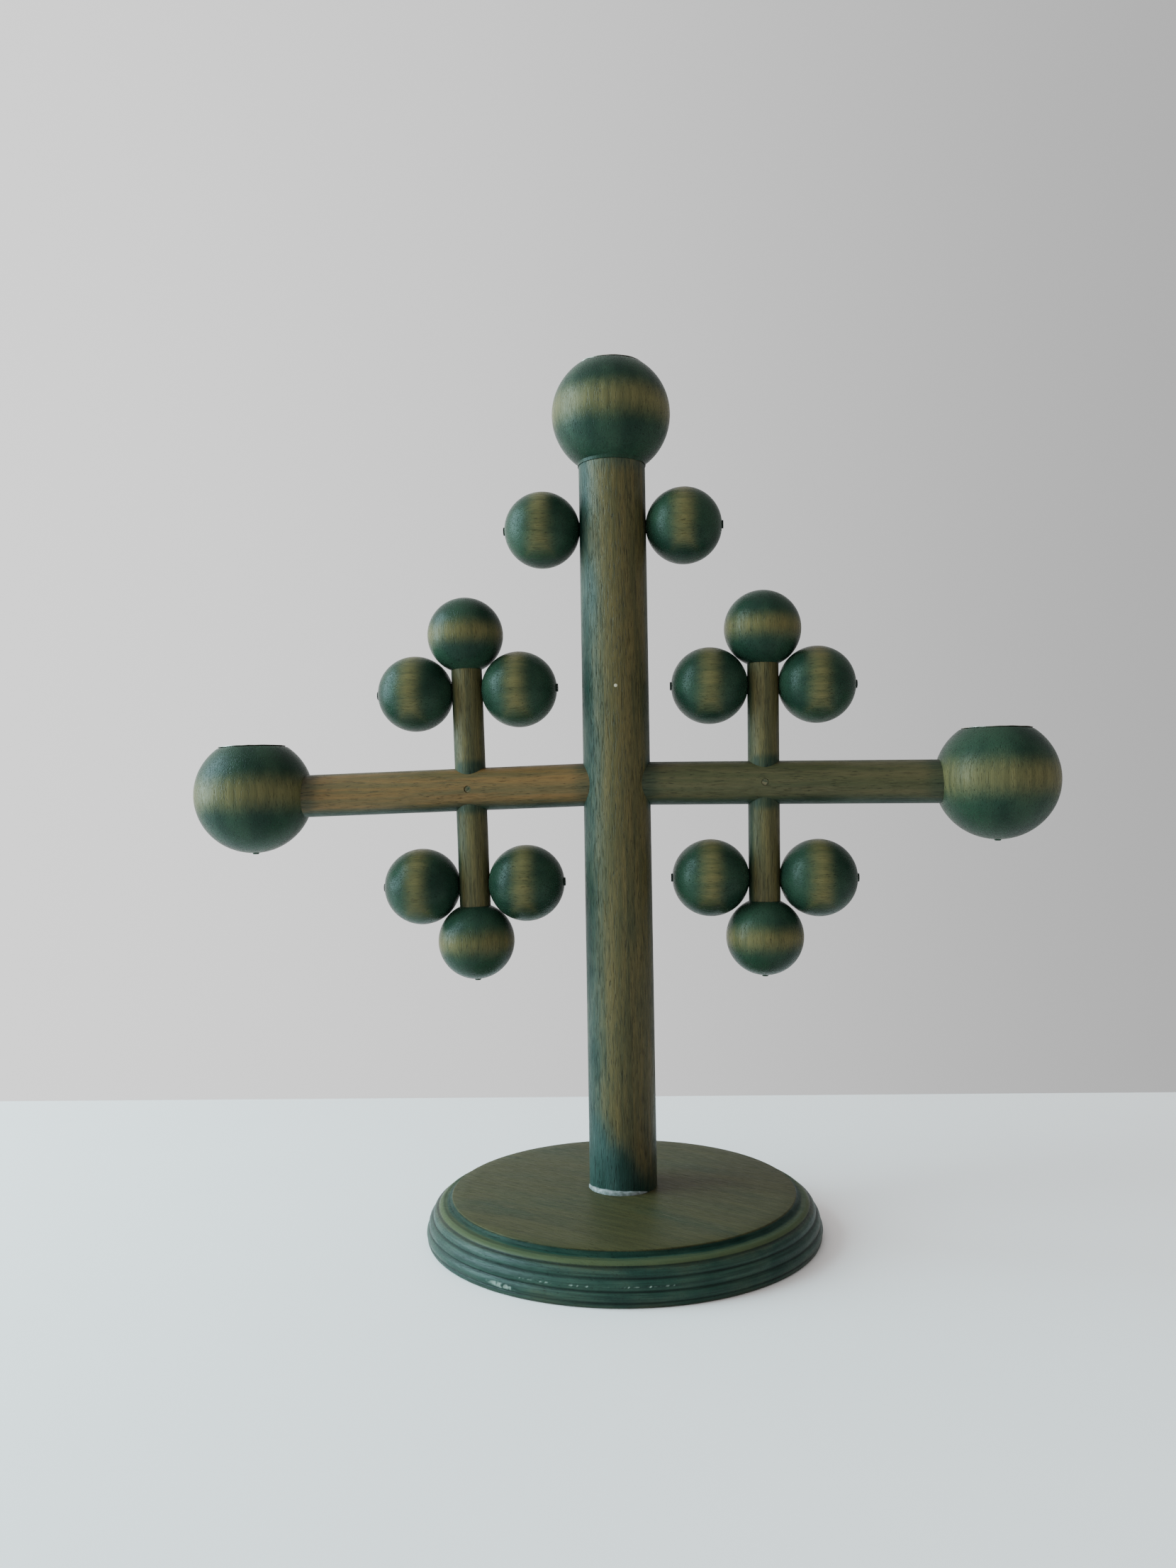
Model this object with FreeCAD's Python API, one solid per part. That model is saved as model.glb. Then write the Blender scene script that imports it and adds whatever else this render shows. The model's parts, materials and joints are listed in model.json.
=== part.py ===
import FreeCAD, Part
import os
from math import sqrt

# Three-light wooden candelabra: turned base, post, two arms, two ball-strung uprights, tin cups.
#
# Millimetres, +Z up, +X to the object's right, origin at the centre of the base's underside.
# Everything is turned from round stock and glued up by hand, so each arm hangs a little low and
# carries its upright and its balls round with it.

V = FreeCAD.Vector
X_AXIS = V(1, 0, 0)
Y_AXIS = V(0, 1, 0)
Z_AXIS = V(0, 0, 1)

# ---- base: a reeded disc ----
base_edge_thickness = 17.0
base_thickness = 18.0
base_dome_bulge = 0.2
base_top_radius = 70.5
arris = 0.4
arris_bulge = 0.08
# each turned stretch of the edge: end radius, end height, bulge out of the straight line
base_reeds = [
    (74.3, 14.6, -0.75),
    (76.4, 13.1, 0.30),
    (78.6, 9.7, 0.75),
    (80.2, 5.7, 0.85),
    (80.9, 2.0, 0.75),
    (80.9, 0.9, 0.15),
]
base_foot_radius = 80.1
base_foot_bulge = 0.2

# ---- post ----
post_radius = 14.0
post_top = 318.3
dowel_radius = 5.0
dowel_in_post = 14.0
dowel_in_ball = 10.0

# ---- arms and uprights ----
arm_height = 185.0
arm_radius = 9.0
arm_gap_at_centre = 2.0
upright_radius = 6.5
end_socket_depth = 13.0
side_ball_offset = 22.1
ball_pin_radius = 1.75
pin_proud = 0.4

# ---- small balls ----
ball_radius = 16.1
post_ball_height = 292.5
post_ball_offset = 29.8

# ---- candle balls ----
candle_ball_radius = 25.0
candle_flat_height = 20.4
top_ball_centre = 340.1
top_ball_seat_radius = 14.4
arm_stop_in_ball = 13.2
nib_radius = 1.5
nib_height = 0.5
nib_root = 2.0

# ---- candle cups of thin tinplate, for 22 mm candles ----
candle_bore_radius = 11.0
cup_wall = 0.5
cup_depth = 19.0
cup_clearance = 0.1
cup_bore_depth = 19.7
flange_radius = 14.0
flange_thickness = 0.45

# ---- nails and base screw ----
nail_head_radius = 1.25
nail_head_thickness = 0.6
nail_shank_radius = 0.6
nail_recess_radius = 1.5
nail_recess_depth = 1.0
nail_length = 15.0
nail_point = 1.5
screw_head_radius = 4.4
screw_shank_radius = 2.2
screw_recess = 0.8
screw_length = 50.0
screw_point = 5.0
screw_slot_width = 0.9
screw_slot_depth = 1.0
slot_overrun = 0.5
slot_lift = 0.2

# ---- what differs between the two hand-assembled sides ----
# side: +1 right, -1 left; distances along the arm from the post's axis and from the arm's axis
sides = {
    "left": {
        "sign": -1, "droop_deg": 1.35, "ball_centre": 155.9, "ball_rise": 1.5,
        "upright": 61.8, "top": 65.3, "bottom": 63.7, "upper_row": 41.4, "lower_row": 40.2,
    },
    "right": {
        "sign": 1, "droop_deg": 0.6, "ball_centre": 155.6, "ball_rise": 1.0,
        "upright": 61.0, "top": 64.0, "bottom": 63.6, "upper_row": 40.5, "lower_row": 39.4,
    },
}

nodes = {}


def bulged(start, end, bulge):
    """An arc from start to end that leaves the straight line by bulge, outwards on the base's edge."""
    run = end - start
    side = V(-run.z, 0, run.x).normalize() * bulge
    return Part.Arc(start, start + run * 0.5 + side, end).toShape()


def turned(edges):
    """Revolve a closed outline in the XZ half-plane about +Z."""
    wire = Part.Wire(Part.__sortEdges__(edges))
    return Part.Face(wire).revolve(V(0, 0, 0), Z_AXIS, 360)


def lathe_line(points):
    """Straight edges through (radius, height) points."""
    corners = [V(r, 0, z) for r, z in points]
    return [Part.makeLine(a, b) for a, b in zip(corners, corners[1:])]


def rod(radius, length, start, direction):
    return Part.makeCylinder(radius, length, start, direction)


def ball(radius, x, z):
    """A turned ball centred in the plane of the arms."""
    return Part.makeSphere(radius, V(x, 0, z))


def candle_ball(x, z):
    """A large ball cut flat on top, with the bore that its cup drops into."""
    flat = z + candle_flat_height
    above = rod(candle_ball_radius, candle_ball_radius, V(x, 0, flat), Z_AXIS)
    bore_radius = candle_bore_radius + cup_wall + cup_clearance
    bore = rod(bore_radius, cup_bore_depth, V(x, 0, flat - cup_bore_depth), Z_AXIS)
    return ball(candle_ball_radius, x, z).cut(above).cut(bore)


def cup():
    """Flanged candle cup, its flange's underside at height 0 and its mouth upwards."""
    outer = candle_bore_radius + cup_wall
    return turned(lathe_line([
        (0, -cup_depth), (outer, -cup_depth), (outer, 0), (flange_radius, 0),
        (flange_radius, flange_thickness), (candle_bore_radius, flange_thickness),
        (candle_bore_radius, -cup_depth + cup_wall), (0, -cup_depth + cup_wall), (0, -cup_depth),
    ]))


def nib(x, pole):
    """The little stub that the lathe leaves under a ball, below its lower pole."""
    return rod(nib_radius, nib_root + nib_height, V(x, 0, pole - nib_height), Z_AXIS)


def moved(shape, *offset):
    result = shape.copy()
    result.translate(V(*offset))
    return result


def nail():
    """Round wire nail, its head's top at the origin, driven along +Y."""
    outline = lathe_line([
        (0, 0), (nail_head_radius, 0), (nail_head_radius, nail_head_thickness),
        (nail_shank_radius, nail_head_thickness), (nail_shank_radius, nail_length - nail_point),
        (0, nail_length), (0, 0),
    ])
    body = turned(outline)
    body.rotate(V(0, 0, 0), X_AXIS, -90)
    return body


def base_disc():
    """The disc's top rises a little towards the flat that the post stands on."""
    seat_edge = V(post_radius, 0, base_thickness)
    corner = V(base_top_radius, 0, base_edge_thickness)
    arris_end = V(base_top_radius + arris, 0, base_edge_thickness - arris)
    edges = [
        Part.makeLine(V(0, 0, 0), V(0, 0, base_thickness)),
        Part.makeLine(V(0, 0, base_thickness), seat_edge),
        bulged(seat_edge, corner, base_dome_bulge),
        bulged(corner, arris_end, arris_bulge),
    ]
    here = arris_end
    for radius, height, bulge in base_reeds:
        there = V(radius, 0, height)
        edges.append(bulged(here, there, bulge))
        here = there
    foot = V(base_foot_radius, 0, 0)
    edges.append(bulged(here, foot, base_foot_bulge))
    edges.append(Part.makeLine(foot, V(0, 0, 0)))
    return turned(edges)


def screw_outline():
    """Countersunk wood screw from its head's face up to its point."""
    neck = screw_recess + screw_head_radius - screw_shank_radius
    return lathe_line([
        (0, screw_recess), (screw_head_radius, screw_recess), (screw_shank_radius, neck),
        (screw_shank_radius, screw_length - screw_point), (0, screw_length), (0, screw_recess),
    ])


# ---- base, post and the screw that draws them together from below ----
screw = turned(screw_outline())
slot_corner = V(-screw_head_radius - slot_overrun, -screw_slot_width / 2, screw_recess - slot_lift)
slot = Part.makeBox(2 * (screw_head_radius + slot_overrun), screw_slot_width,
                    screw_slot_depth + slot_lift, slot_corner)
nodes["base_screw"] = screw.cut(slot)
head_recess = rod(screw_head_radius, screw_recess, V(0, 0, 0), Z_AXIS)
nodes["base_disc"] = base_disc().cut(screw).cut(head_recess)

dowel_start = V(0, 0, post_top - dowel_in_post)
dowel = rod(dowel_radius, dowel_in_post + dowel_in_ball, dowel_start, Z_AXIS)
nodes["post_top_dowel"] = dowel
post = rod(post_radius, post_top - base_thickness, V(0, 0, base_thickness), Z_AXIS)
post = post.cut(screw).cut(dowel)

# ---- candle ball and cup on top of the post ----
# the seat runs up from the post's head to halfway between the ball's centre and where it meets
# the ball's surface, so that the two join in one solid
meeting = sqrt(candle_ball_radius ** 2 - top_ball_seat_radius ** 2)
seat_length = top_ball_centre - meeting / 2 - post_top
seat = rod(top_ball_seat_radius, seat_length, V(0, 0, post_top), Z_AXIS)
below = rod(candle_ball_radius, candle_ball_radius, V(0, 0, post_top - candle_ball_radius), Z_AXIS)
top_ball = candle_ball(0, top_ball_centre).fuse(seat).cut(below)
nodes["top_candle_ball"] = top_ball.cut(dowel)
nodes["top_candle_cup"] = moved(cup(), 0, 0, top_ball_centre + candle_flat_height)

# ---- pair of balls pinned through the post below its head ----
pin_half = post_ball_offset + ball_radius + pin_proud
pin = rod(ball_pin_radius, 2 * pin_half, V(-pin_half, 0, post_ball_height), X_AXIS)
nodes["post_ball_pin"] = pin
for name, sign in (("left", -1), ("right", 1)):
    pinned = ball(ball_radius, sign * post_ball_offset, post_ball_height)
    nodes["post_ball_" + name] = pinned.cut(post).cut(pin)
post = post.cut(pin)

# ---- each side: arm, candle ball, cup, upright, six balls, two pins and a nail ----
for name, side in sides.items():
    sign = side["sign"]
    pieces = {}
    start = arm_gap_at_centre / 2
    stop = side["ball_centre"] - arm_stop_in_ball
    arm = rod(arm_radius, stop - start, V(sign * start, 0, 0), X_AXIS * sign)
    socket = arm.copy()

    end = sign * side["ball_centre"]
    rise = side["ball_rise"]
    end_ball = candle_ball(end, rise).fuse(nib(end, rise - candle_ball_radius))
    pieces["candle_ball"] = end_ball.cut(arm)
    pieces["candle_cup"] = moved(cup(), end, 0, rise + candle_flat_height)

    across = sign * side["upright"]
    low_end = -side["bottom"] + ball_radius - end_socket_depth
    high_end = side["top"] - ball_radius + end_socket_depth
    upright = rod(upright_radius, high_end - low_end, V(across, 0, low_end), Z_AXIS)
    bottom_ball = ball(ball_radius, across, -side["bottom"])
    bottom_ball = bottom_ball.fuse(nib(across, -side["bottom"] - ball_radius))
    pieces["bottom_ball"] = bottom_ball.cut(upright)
    pieces["top_ball"] = ball(ball_radius, across, side["top"]).cut(upright)

    drilled = upright
    pin_half = side_ball_offset + ball_radius + pin_proud
    for row, height in (("upper", side["upper_row"]), ("lower", -side["lower_row"])):
        pin = rod(ball_pin_radius, 2 * pin_half, V(across - pin_half, 0, height), X_AXIS)
        pieces[row + "_pin"] = pin
        for place, way in (("outer", sign), ("inner", -sign)):
            pinned = ball(ball_radius, across + way * side_ball_offset, height)
            pieces[row + "_" + place + "_ball"] = pinned.cut(upright).cut(pin)
        drilled = drilled.cut(pin)

    head_y = -arm_radius + nail_recess_depth
    fixing = moved(nail(), across, head_y, 0)
    recess = rod(nail_recess_radius, arm_radius, V(across, head_y - arm_radius, 0), Y_AXIS)
    pieces["nail"] = fixing
    pieces["arm"] = arm.cut(upright).cut(fixing).cut(recess)
    pieces["upright"] = drilled.cut(fixing)

    for shape in [socket, *pieces.values()]:
        shape.translate(V(0, 0, arm_height))
        shape.rotate(V(0, 0, arm_height), Y_AXIS, sign * side["droop_deg"])
    post = post.cut(socket)
    for piece, shape in pieces.items():
        nodes[name + "_" + piece] = shape
nodes["post"] = post

os.makedirs("parts", exist_ok=True)
for name, shape in nodes.items():
    solids = shape.Solids
    print(name, len(solids), round(shape.Volume, 1), shape.isValid())
    solids[0].exportStep("parts/" + name + ".step")
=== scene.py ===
"""Three-light candelabra of turned, green-stained wood with tin candle cups, in metres."""

import json
import math

import bpy
from mathutils import Matrix, Vector, noise


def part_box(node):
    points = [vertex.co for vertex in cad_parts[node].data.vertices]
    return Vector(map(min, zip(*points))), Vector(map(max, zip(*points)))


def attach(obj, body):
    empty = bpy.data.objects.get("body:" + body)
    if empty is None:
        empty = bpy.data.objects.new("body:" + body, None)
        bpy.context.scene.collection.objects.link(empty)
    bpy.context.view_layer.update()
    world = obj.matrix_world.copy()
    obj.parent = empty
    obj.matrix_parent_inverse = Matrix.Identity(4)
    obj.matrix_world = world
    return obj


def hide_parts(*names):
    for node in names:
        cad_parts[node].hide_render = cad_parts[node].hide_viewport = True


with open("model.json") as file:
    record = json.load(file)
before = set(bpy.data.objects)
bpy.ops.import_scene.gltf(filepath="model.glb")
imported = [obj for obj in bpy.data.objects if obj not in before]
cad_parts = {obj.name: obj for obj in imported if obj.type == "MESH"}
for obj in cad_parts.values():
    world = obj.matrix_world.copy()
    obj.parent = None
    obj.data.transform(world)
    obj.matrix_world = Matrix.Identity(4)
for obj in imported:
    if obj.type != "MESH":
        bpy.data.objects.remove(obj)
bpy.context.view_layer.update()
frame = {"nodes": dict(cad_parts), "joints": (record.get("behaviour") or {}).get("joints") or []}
nodes = frame["nodes"]
scene = bpy.context.scene

# ---- table, window and camera ----
# The piece stands near the back of a plain pale table. A tall window on its left gives the only
# strong light; the rest is one soft glow that fades from the window's side to the far side.
table_front = -1.8
table_side = 1.6
table_back = 0.2265
table_back_turn = math.radians(2.5)
table_thickness = 0.03
window_place = Vector((-1.10, -0.16, 0.58))
window_aim = Vector((0.0, 0.0, 0.22))
window_width = 0.9
window_height = 1.1
window_energy = 45.0
window_tint = (0.58, 0.90, 1.0)
room_glow = 5.0
window_side_glow = (0.3, 0.3, 0.3, 1)
far_side_glow = (0.1, 0.1, 0.1, 1)
camera_place = Vector((0.0271, -0.5015, 0.17536))
camera_turn = math.radians(4.4746)
camera_tilt = math.radians(91.0973)
camera_roll = math.radians(-0.9185)
camera_lens = 27.52


def node(tree, kind, inputs=None, **settings):
    """A node with its settings, its inputs given by name or number as values or as sockets to link."""
    made = tree.nodes.new(kind)
    for setting, value in settings.items():
        setattr(made, setting, value)
    for socket, value in (inputs or {}).items():
        if isinstance(value, bpy.types.NodeSocket):
            tree.links.new(value, made.inputs[socket])
        else:
            made.inputs[socket].default_value = value
    return made


def ranged(tree, value, low, high, to_low=0.0, to_high=1.0):
    """Value eased from to_low at low to to_high at high."""
    made = node(tree, "ShaderNodeMapRange", interpolation_type="SMOOTHSTEP", inputs={
        "Value": value, "From Min": low, "From Max": high, "To Min": to_low, "To Max": to_high})
    return made.outputs["Result"]


def mixed(tree, share, first, second, blend="MIX"):
    """Colour first with a share of second over it."""
    made = node(tree, "ShaderNodeMix", {0: share, 6: first, 7: second},
                data_type="RGBA", blend_type=blend)
    return made.outputs[2]


def maths(tree, operation, *values):
    """One arithmetic step on numbers or sockets."""
    made = node(tree, "ShaderNodeMath", dict(enumerate(values)), operation=operation)
    return made.outputs[0]


def placed(name, mesh):
    """A new object for a mesh whose place is in its points."""
    made = bpy.data.objects.new(name, mesh)
    scene.collection.objects.link(made)
    return made


def slab(name):
    """The table's top: a thin board whose back edge runs slightly askew."""
    back = [Vector((x, table_back + x * math.tan(table_back_turn), 0)) for x in (table_side, -table_side)]
    rim = [Vector((-table_side, table_front, 0)), Vector((table_side, table_front, 0)), *back]
    drop = Vector((0, 0, -table_thickness))
    points = rim + [corner + drop for corner in rim]
    sides = [(i, i + 4, (i + 1) % 4 + 4, (i + 1) % 4) for i in range(4)]
    mesh = bpy.data.meshes.new(name)
    mesh.from_pydata(points, [], [(0, 1, 2, 3), (7, 6, 5, 4), *sides])
    return placed(name, mesh)


def table_paint():
    """Matt off-white paint with the faintest cloudiness."""
    made = bpy.data.materials.new("pale table paint")
    made.use_nodes = True
    tree = made.node_tree
    shader = tree.nodes["Principled BSDF"]
    where = node(tree, "ShaderNodeTexCoord").outputs["Object"]
    cloud = node(tree, "ShaderNodeTexNoise", {"Vector": where, "Scale": 14.0, "Detail": 3.0})
    colour = mixed(tree, cloud.outputs[0], (0.90, 0.86, 0.85, 1), (0.93, 0.89, 0.87, 1))
    tree.links.new(colour, shader.inputs["Base Color"])
    shader.inputs["Roughness"].default_value = 0.62
    shader.inputs["Specular IOR Level"].default_value = 0.3
    return made


table = slab("table")
table.data.materials.append(table_paint())

room = bpy.data.worlds.new("pale room")
room.use_nodes = True
scene.world = room
room_tree = room.node_tree
toward = node(room_tree, "ShaderNodeTexCoord").outputs["Generated"]
sideways = node(room_tree, "ShaderNodeSeparateXYZ", {0: toward}).outputs["X"]

glow = mixed(room_tree, ranged(room_tree, sideways, -0.8, 0.6), window_side_glow, far_side_glow)
background = room_tree.nodes["Background"]
room_tree.links.new(glow, background.inputs["Color"])
background.inputs["Strength"].default_value = room_glow

window_data = bpy.data.lights.new("window", "AREA")
window_data.shape = "RECTANGLE"
window_data.size = window_width
window_data.size_y = window_height
window_data.energy = window_energy
window_data.color = window_tint
window = bpy.data.objects.new("window", window_data)
window.matrix_world = (Matrix.Translation(window_place)
                       @ (window_aim - window_place).to_track_quat("-Z", "Y").to_matrix().to_4x4())
window.visible_camera = False
scene.collection.objects.link(window)

camera_data = bpy.data.cameras.new("camera")
camera_data.sensor_width = 36.0
camera_data.lens = camera_lens
camera = bpy.data.objects.new("camera", camera_data)
camera.matrix_world = (Matrix.Translation(camera_place) @ Matrix.Rotation(camera_turn, 4, "Z")
                       @ Matrix.Rotation(camera_tilt, 4, "X") @ Matrix.Rotation(camera_roll, 4, "Z"))
scene.collection.objects.link(camera)
scene.camera = camera

# ---- foot: the turned and reeded base disc ----
# An 18 mm board turned on a faceplate, with a cove, a ledge and three reeds on its edge. It was brushed
# olive and green, then lacquered; the tool chattered in one groove and the edge is scuffed to bare wood.
base_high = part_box("base_disc")[1]
seat_level = base_high.z
rim_level = 0.0170
seat_radius = 0.0140
top_face_radius = 0.0705
top_dome = 0.0002
arris = 0.0004
arris_bulge = 0.00008
# each turned stretch of the edge: end radius, end height, bulge out of the straight line
edge_cuts = [
    (0.0743, 0.0146, -0.00075),
    (0.0764, 0.0131, 0.0003),
    (0.0786, 0.0097, 0.00075),
    (0.0802, 0.0057, 0.00085),
    (0.0809, 0.0020, 0.00075),
    (0.0809, 0.0009, 0.00015),
    (0.0801, 0.0, 0.0002),
]
screw_pocket_radius = 0.0045
screw_pocket_depth = 0.004
chatter_height = 0.0074
chatter_from = math.radians(-112)
chatter_to = math.radians(-77)
scuff_angle = math.radians(-121)
scuff_height = 0.0034
base_grain_turn = math.radians(-30)


def turned_mesh(name, outline, segments):
    """Revolve (radius, height) points about +Z, from the axis out and back to it, faces outwards."""
    points = []
    rings = []
    for radius, level in outline:
        if radius == 0:
            rings.append([len(points)] * segments)
            points.append((0, 0, level))
            continue
        rings.append(range(len(points), len(points) + segments))
        turns = [math.tau * i / segments for i in range(segments)]
        points += [(radius * math.cos(turn), radius * math.sin(turn), level) for turn in turns]
    faces = []
    for lower, upper in zip(rings, rings[1:]):
        for i in range(segments):
            j = (i + 1) % segments
            face = (lower[i], lower[j], upper[j], upper[i])
            faces.append(tuple(dict.fromkeys(face)))
    mesh = bpy.data.meshes.new(name)
    mesh.from_pydata(points, [], faces)
    mesh.shade_smooth()
    mesh.set_sharp_from_angle(angle=math.radians(38))
    return mesh


def bulged(start, end, bulge, steps):
    """Points after start along a shallow arc to end, which bulges outwards on the way down."""
    run = Vector(end) - Vector(start)
    side = Vector((-run.y, run.x)).normalized() * bulge
    shares = [i / steps for i in range(1, steps + 1)]
    return [tuple(Vector(start) + run * s + side * 4 * s * (1 - s)) for s in shares]


def base_outline():
    outline = [(0, screw_pocket_depth), (screw_pocket_radius, screw_pocket_depth),
               (screw_pocket_radius, 0), (0.02, 0), (0.05, 0)]
    corners = [(seat_radius, seat_level, 0), (top_face_radius, rim_level, top_dome),
               (top_face_radius + arris, rim_level - arris, arris_bulge)]
    corners += edge_cuts
    edge = [corners[0][:2]]
    for start, (radius, level, bulge) in zip(corners, corners[1:]):
        edge += bulged(start[:2], (radius, level), bulge, 9)
    return outline + edge[::-1] + [(0, seat_level)]


def within(value, low, high):
    """1 between low and high, easing to 0 over a fifth of the range outside."""
    soft = (high - low) / 5
    rise = min(max((value - low) / soft + 1, 0), 1)
    fall = min(max((high - value) / soft + 1, 0), 1)
    return min(rise, fall)


def wear_base(mesh):
    """Tool chatter in one groove, a bruise with lifted splinters, and the edge's small unevenness; also a
    map of bare wood at the bruise and of painted highlights along the chatter marks.
    """
    bare_and_glints = mesh.attributes.new("bare_wood_and_glints", "FLOAT", "POINT")
    for i, vertex in enumerate(mesh.vertices):
        radius = vertex.co.xy.length
        if radius < top_face_radius + arris:
            continue
        turn = math.atan2(vertex.co.y, vertex.co.x)
        level = vertex.co.z
        ring = Vector((math.cos(turn), math.sin(turn), 0))
        cut = 0.00006 * (1 + noise.noise(ring * 22 + Vector((0, 0, level * 900))))
        chatter = within(turn, chatter_from, chatter_to) * within(level, chatter_height - 0.0003,
                                                                  chatter_height + 0.0003)
        marks = noise.noise(Vector((turn * 75, level * 300, 4.0)))
        cut += 0.00016 * chatter * marks
        past = turn - scuff_angle
        bruise = Vector((past * radius * 0.16, level - scuff_height + past * 0.0033))
        torn = max(0.0, 1 - bruise.length / 0.0014)
        splinters = noise.noise(Vector((turn * 90, level * 700, 9.0)))
        cut += 0.0005 * min(torn * 1.6, 1) * (0.55 + splinters)
        # Bare wood at the bruise; along the chatter marks the pale value is a painted highlight where the
        # little bumps catch the light.
        bare_and_glints.data[i].value = max(torn * 2.2 * (0.55 + splinters), chatter * max(marks + 0.08, 0) * 1.8)
        vertex.co -= ring * cut


def noise_field(tree, where, stretch, detail=4.0, roughness=0.55):
    """Noise on coordinates in metres, stretch being its cycles a metre along X, Y and Z."""
    scaled = node(tree, "ShaderNodeMapping", {"Vector": where, "Scale": stretch}).outputs[0]
    made = node(tree, "ShaderNodeTexNoise", {"Vector": scaled, "Scale": 1.0, "Detail": detail,
                                             "Roughness": roughness})
    return made.outputs[0]


def stained_wood(name, where, cover, tones, furrow=0.35, relief=0.00012, gloss=0.42, shine=0.14,
                 ragged=1.3):
    """Open-grained wood, stained in two tones and lacquered.

    where(tree) gives coordinates in metres with the grain along Z. cover(tree) gives how thick the
    green lies, 0 to 1; ragged is how unevenly. tones are the two ground colours and the two greens.
    """
    made = bpy.data.materials.new(name)
    made.use_nodes = True
    tree = made.node_tree
    shader = tree.nodes["Principled BSDF"]
    place = where(tree)
    cloud = noise_field(tree, place, (70, 70, 26), 3.0)
    bands = noise_field(tree, place, (420, 420, 22), 3.0)
    fibre = noise_field(tree, place, (2100, 2100, 190), 3.0, 0.6)
    pores = ranged(tree, noise_field(tree, place, (2600, 2600, 260), 2.0, 0.5), 0.60, 0.74)
    lines = ranged(tree, noise_field(tree, place, (1500, 1500, 130), 2.0, 0.5), 0.57, 0.70)
    light_ground, dark_ground, light_green, dark_green = [(*tone, 1) for tone in tones]
    ground = mixed(tree, ranged(tree, bands, 0.34, 0.66), light_ground, dark_ground)
    green = mixed(tree, ranged(tree, cloud, 0.35, 0.68), light_green, dark_green)
    blotch = maths(tree, "MULTIPLY_ADD", maths(tree, "SUBTRACT", cloud, 0.5), ragged, cover(tree))
    soaked = maths(tree, "MULTIPLY_ADD", maths(tree, "SUBTRACT", fibre, 0.5), ragged * 0.4, blotch)
    colour = mixed(tree, ranged(tree, soaked, 0.0, 1.0), ground, green)
    streak = maths(tree, "MULTIPLY", ranged(tree, fibre, 0.30, 0.70), furrow)
    colour = mixed(tree, streak, colour, (0.35, 0.36, 0.33, 1), "MULTIPLY")
    colour = mixed(tree, maths(tree, "MULTIPLY", lines, furrow * 1.1), colour, (0.28, 0.30, 0.26, 1),
                   "MULTIPLY")
    colour = mixed(tree, maths(tree, "MULTIPLY", pores, 0.65), colour, (0.22, 0.24, 0.22, 1), "MULTIPLY")
    tree.links.new(colour, shader.inputs["Base Color"])
    shader.inputs["Specular IOR Level"].default_value = shine
    tree.links.new(ranged(tree, fibre, 0.3, 0.7, gloss - 0.06, gloss + 0.10), shader.inputs["Roughness"])
    depth = maths(tree, "MULTIPLY_ADD", pores, -0.9, fibre)
    depth = maths(tree, "MULTIPLY_ADD", lines, -0.7, depth)
    bump = node(tree, "ShaderNodeBump", {"Strength": 1.0, "Distance": relief, "Height": depth})
    tree.links.new(bump.outputs[0], shader.inputs["Normal"])
    return made


def lying(origin, attitude):
    """Coordinates of a piece that lies at origin with its grain along the attitude's Z."""
    def where(tree):
        seen = node(tree, "ShaderNodeTexCoord").outputs["Object"]
        return node(tree, "ShaderNodeMapping", {"Vector": seen, "Location": origin,
                                                "Rotation": attitude}, vector_type="TEXTURE").outputs[0]
    return where


def base_cover(tree):
    """Green in the cove and on the reeds, thin on the ledge and over the top face."""
    seen = node(tree, "ShaderNodeTexCoord").outputs["Object"]
    level = node(tree, "ShaderNodeSeparateXYZ", {0: seen}).outputs["Z"]
    share = node(tree, "ShaderNodeMapRange", {"Value": level, "From Min": 0.0, "From Max": rim_level})
    ramp = node(tree, "ShaderNodeValToRGB", {0: share.outputs["Result"]})
    stops = [(0.0, 0.45), (0.06, 0.75), (0.30, 0.95), (0.55, 0.95), (0.70, 0.85), (0.77, 0.45),
             (0.85, 0.50), (0.88, 1.05), (0.955, 1.0), (0.975, 0.12), (1.0, 0.10)]
    while len(ramp.color_ramp.elements) < len(stops):
        ramp.color_ramp.elements.new(0.5)
    for element, (position, amount) in zip(ramp.color_ramp.elements, stops):
        element.position = position
        element.color = (amount, amount, amount, 1)
    return ramp.outputs[0]


def turning_lines(tree):
    """Fine rings left by the chisel and the brush as the disc spun, 0 to 1."""
    seen = node(tree, "ShaderNodeTexCoord").outputs["Object"]
    axes = node(tree, "ShaderNodeSeparateXYZ", {0: seen}).outputs
    turn = maths(tree, "ARCTAN2", axes["Y"], axes["X"])
    out = node(tree, "ShaderNodeVectorMath", {0: seen}, operation="LENGTH").outputs["Value"]
    unrolled = node(tree, "ShaderNodeCombineXYZ", {"X": turn, "Y": out, "Z": axes["Z"]}).outputs[0]
    return noise_field(tree, unrolled, (3.5, 1300, 1300), 3.0, 0.6)


def grooves_stain_and_shade(tree):
    """1 in the cove and the narrow grooves between the reeds, where the stain gathered and where painted
    shade darkens the recesses.
    """
    seen = node(tree, "ShaderNodeTexCoord").outputs["Object"]
    level = node(tree, "ShaderNodeSeparateXYZ", {0: seen}).outputs["Z"]
    cove_foot = edge_cuts[0][1]
    amount = maths(tree, "MULTIPLY", ranged(tree, level, cove_foot + 0.0001, cove_foot + 0.0005, 0.0, 0.75),
                   ranged(tree, level, rim_level - 0.0007, rim_level - 0.0002, 1.0, 0.0))
    for _, groove, _ in edge_cuts[1:5]:
        away = maths(tree, "ABSOLUTE", maths(tree, "SUBTRACT", level, groove))
        amount = maths(tree, "MAXIMUM", ranged(tree, away, 0.0001, 0.0007, 1.0, 0.0), amount)
    return amount


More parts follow.
